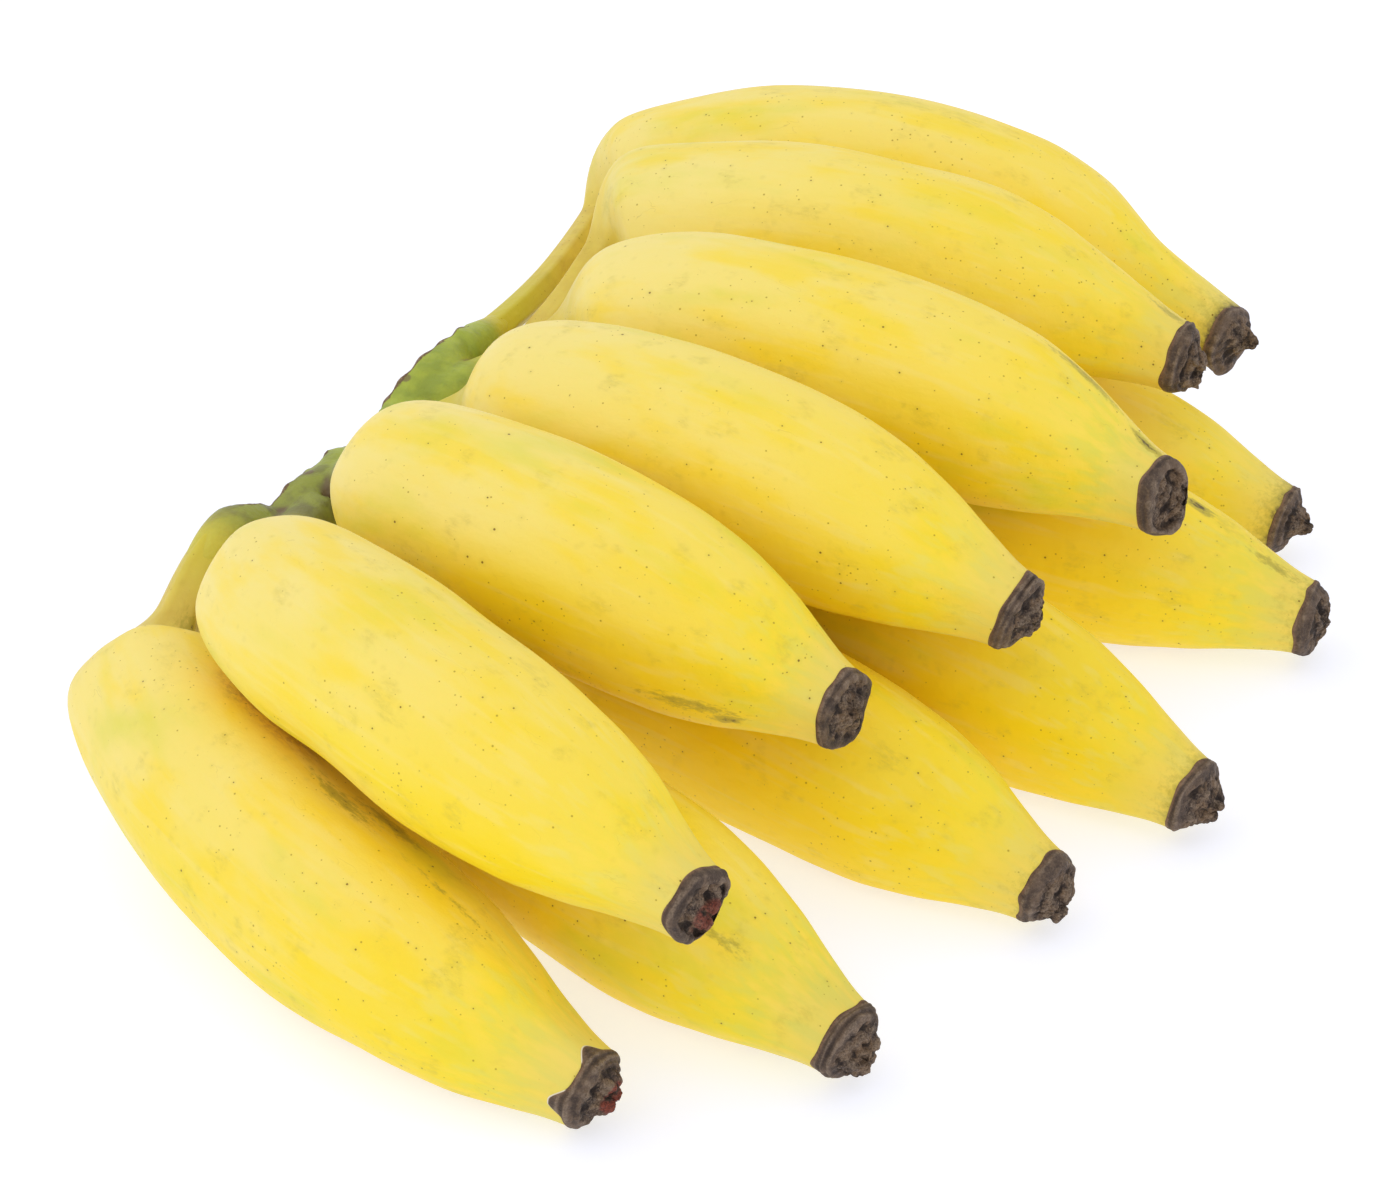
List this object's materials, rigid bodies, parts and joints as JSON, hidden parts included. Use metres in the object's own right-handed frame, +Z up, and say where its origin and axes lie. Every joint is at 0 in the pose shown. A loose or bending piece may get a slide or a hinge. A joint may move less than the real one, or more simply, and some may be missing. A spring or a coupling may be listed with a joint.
{
  "type": "bunch of bananas",
  "caption": "Hand of small, plump ripe bananas in two rows on one cut crown, lying on a flat surface.",
  "frame": {"origin": "on the surface that the bunch rests on, under the middle of its bounding box", "axes": "+Z up, +X from the crown towards the blossom ends, +Y across the hand, along its longest side"},
  "size_m": [0.1926, 0.275, 0.0774],
  "materials": {
    "peel": "ripe yellow banana peel, satin, with small brown specks and greenish ridges near the tips",
    "dry_blossom": "dry, dark brown and matte, wrinkled",
    "crown_skin": "green, satin, brown and dry along the cut"
  },
  "bodies": {
    "root": {"crown": "crown_skin", "finger_upper_1": "peel", "finger_upper_2": "peel", "finger_upper_3": "peel", "finger_upper_4": "peel", "finger_upper_5": "peel", "finger_upper_6": "peel", "finger_lower_1": "peel", "finger_lower_2": "peel", "finger_lower_3": "peel", "finger_lower_4": "peel", "finger_lower_5": "peel", "finger_lower_6": "peel", "blossom_end_upper_1": "dry_blossom", "blossom_end_upper_2": "dry_blossom", "blossom_end_upper_3": "dry_blossom", "blossom_end_upper_4": "dry_blossom", "blossom_end_upper_5": "dry_blossom", "blossom_end_upper_6": "dry_blossom", "blossom_end_lower_1": "dry_blossom", "blossom_end_lower_2": "dry_blossom", "blossom_end_lower_3": "dry_blossom", "blossom_end_lower_4": "dry_blossom", "blossom_end_lower_5": "dry_blossom", "blossom_end_lower_6": "dry_blossom"}
  },
  "joints": []
}
